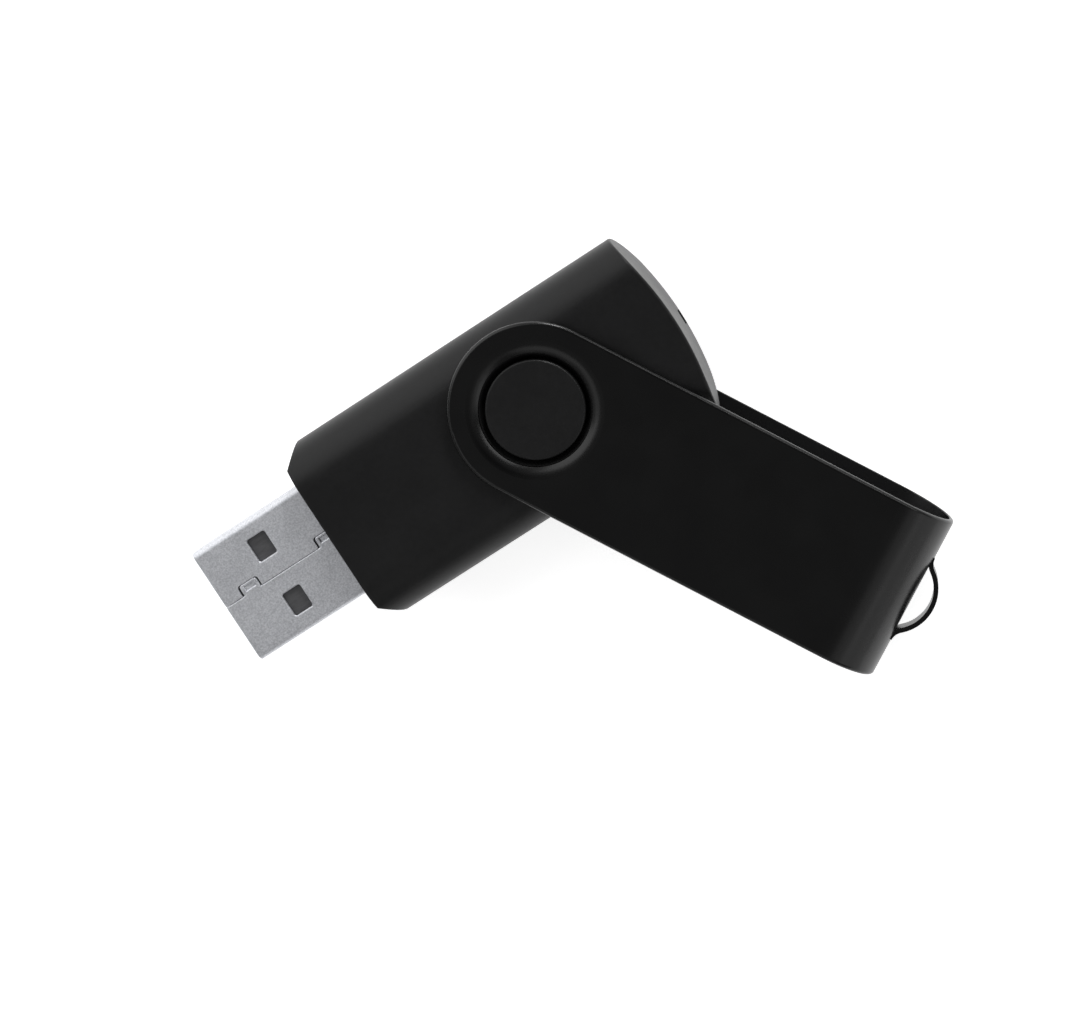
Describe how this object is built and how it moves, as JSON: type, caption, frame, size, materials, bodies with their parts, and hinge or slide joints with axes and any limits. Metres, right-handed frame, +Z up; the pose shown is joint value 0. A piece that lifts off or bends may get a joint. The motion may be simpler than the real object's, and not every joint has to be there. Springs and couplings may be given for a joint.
{
  "type": "usb flash drive",
  "caption": "Pocket memory stick with a type A plug, a black plastic housing and a black U-shaped metal clip that swivels on it and ends in a key ring bow",
  "frame": {"origin": "on the pivot axis, in the outer face of the clip's lower leaf, on which the object rests", "axes": "+Z up along the pivot axis, -X along the housing towards the plug, +Y across the housing"},
  "size_m": [0.0621, 0.0477, 0.011],
  "materials": {
    "shell_plastic": "fine matte moulded black plastic",
    "light_pipe": "smoky clear plastic",
    "clip_paint": "satin black paint on thin steel sheet",
    "plug_steel": "fine bead blasted nickel plated steel",
    "insulator_plastic": "black moulded insulator",
    "contact_plating": "gold plated contact",
    "solder": "smooth solder",
    "board_laminate": "green solder mask",
    "chip_epoxy": "matte black moulded epoxy",
    "lead_tin": "tinned leads",
    "crystal_metal": "drawn metal can",
    "led_lens": "clear lens on a white body",
    "resistor_ceramic": "black coated ceramic with tinned ends",
    "capacitor_ceramic": "tan ceramic with tinned ends"
  },
  "bodies": {
    "stick": {"housing_top": "shell_plastic", "housing_bottom": "shell_plastic", "led_light_pipe": "light_pipe", "plug_shell": "plug_steel", "plug_insulator": "insulator_plastic", "contact_vbus": "contact_plating", "contact_data_minus": "contact_plating", "contact_data_plus": "contact_plating", "contact_ground": "contact_plating", "contact_solder": "solder", "shell_solder": "solder", "circuit_board": "board_laminate", "flash_memory_chip": "chip_epoxy", "flash_memory_leads": "lead_tin", "controller_chip": "chip_epoxy", "controller_leads": "lead_tin", "crystal_oscillator": "crystal_metal", "voltage_regulator": "chip_epoxy", "regulator_leads": "lead_tin", "activity_led": "led_lens", "resistor_1": "resistor_ceramic", "capacitor_1": "capacitor_ceramic", "resistor_2": "resistor_ceramic", "capacitor_2": "capacitor_ceramic", "resistor_3": "resistor_ceramic", "capacitor_3": "capacitor_ceramic", "resistor_4": "resistor_ceramic", "capacitor_4": "capacitor_ceramic"},
    "clip": {"swivel_clip": "clip_paint"}
  },
  "joints": [
    {"name": "clip_swivel", "type": "hinge", "parent": "stick", "child": "clip", "pos_m": [0, 0, 0.0055], "axis": [0, 0, 1], "continuous": true}
  ]
}
